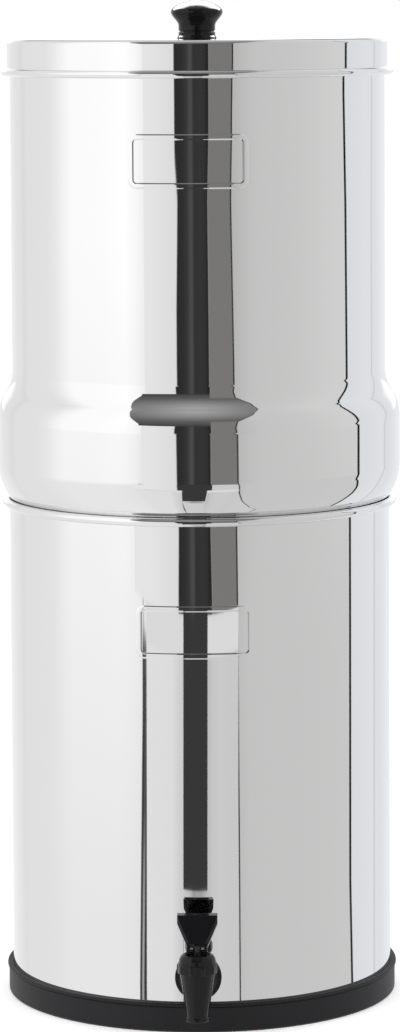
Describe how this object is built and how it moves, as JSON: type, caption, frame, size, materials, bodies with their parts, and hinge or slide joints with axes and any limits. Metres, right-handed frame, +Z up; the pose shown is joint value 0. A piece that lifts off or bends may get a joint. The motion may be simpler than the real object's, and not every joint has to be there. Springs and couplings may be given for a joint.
{
  "type": "gravity water filter",
  "caption": "Countertop gravity water filter: stacked polished steel chambers with carbon filter elements inside, a lift-off lid with a knob, a lever tap and a rubber base ring.",
  "frame": {"origin": "centre of the base ring's underside, on the chambers' common axis", "axes": "+Z up along the chambers' axis; the tap faces -Y; +X is to the right as seen from the front"},
  "size_m": [0.2686, 0.3039, 0.664],
  "materials": {
    "polished_steel": "mirror polished stainless sheet",
    "plain_steel": "turned stainless",
    "black_gloss": "glossy moulded plastic",
    "black_nylon": "satin moulded nylon",
    "white_nylon": "satin moulded nylon",
    "black_rubber": "smooth satin rubber",
    "carbon_block": "fine pressed carbon grain",
    "silicone": "soft translucent silicone"
  },
  "bodies": {
    "lower": {"lower_chamber": "polished_steel", "base_ring": "black_rubber", "tap_body": "black_gloss", "tap_bonnet": "black_gloss", "tap_seat_cup": "silicone", "tap_outer_washer": "black_rubber", "tap_inner_washer": "black_rubber", "tap_nut": "black_nylon"},
    "upper": {"upper_chamber": "polished_steel", "filter_1_element": "carbon_block", "filter_1_base": "black_nylon", "filter_1_washer": "black_rubber", "filter_1_wing_nut": "white_nylon", "filter_2_element": "carbon_block", "filter_2_base": "black_nylon", "filter_2_washer": "black_rubber", "filter_2_wing_nut": "white_nylon", "hole_plug_1": "black_nylon", "plug_washer_1": "black_rubber", "plug_wing_nut_1": "white_nylon", "hole_plug_2": "black_nylon", "plug_washer_2": "black_rubber", "plug_wing_nut_2": "white_nylon", "hole_plug_3": "black_nylon", "plug_washer_3": "black_rubber", "plug_wing_nut_3": "white_nylon", "hole_plug_4": "black_nylon", "plug_washer_4": "black_rubber", "plug_wing_nut_4": "white_nylon"},
    "lid": {"lid": "polished_steel", "lid_knob": "black_gloss", "lid_knob_screw": "plain_steel", "lid_knob_washer": "white_nylon"},
    "stem": {"tap_stem": "black_nylon", "tap_lever_pin": "plain_steel"},
    "lever": {"tap_lever": "black_gloss"}
  },
  "joints": [
    {"name": "upper_lift", "type": "slide", "parent": "lower", "child": "upper", "axis": [0, 0, 1], "range_m": [0, 0.06]},
    {"name": "lid_lift", "type": "slide", "parent": "upper", "child": "lid", "axis": [0, 0, 1], "range_m": [0, 0.06]},
    {"name": "stem_lift", "type": "slide", "parent": "lower", "child": "stem", "axis": [0, 0, 1], "range_m": [0, 0.0028], "deforming": ["tap_seat_cup"]},
    {"name": "lever_pull", "type": "hinge", "parent": "stem", "child": "lever", "pos_m": [0, -0.157, 0.06155], "axis": [1, 0, 0], "range_deg": [0, 50], "stiffness_Nm_per_rad": 0.12}
  ],
  "couplings": [
    {"joint": "stem_lift", "follows": "lever_pull", "m_per_rad": 0.0032}
  ]
}
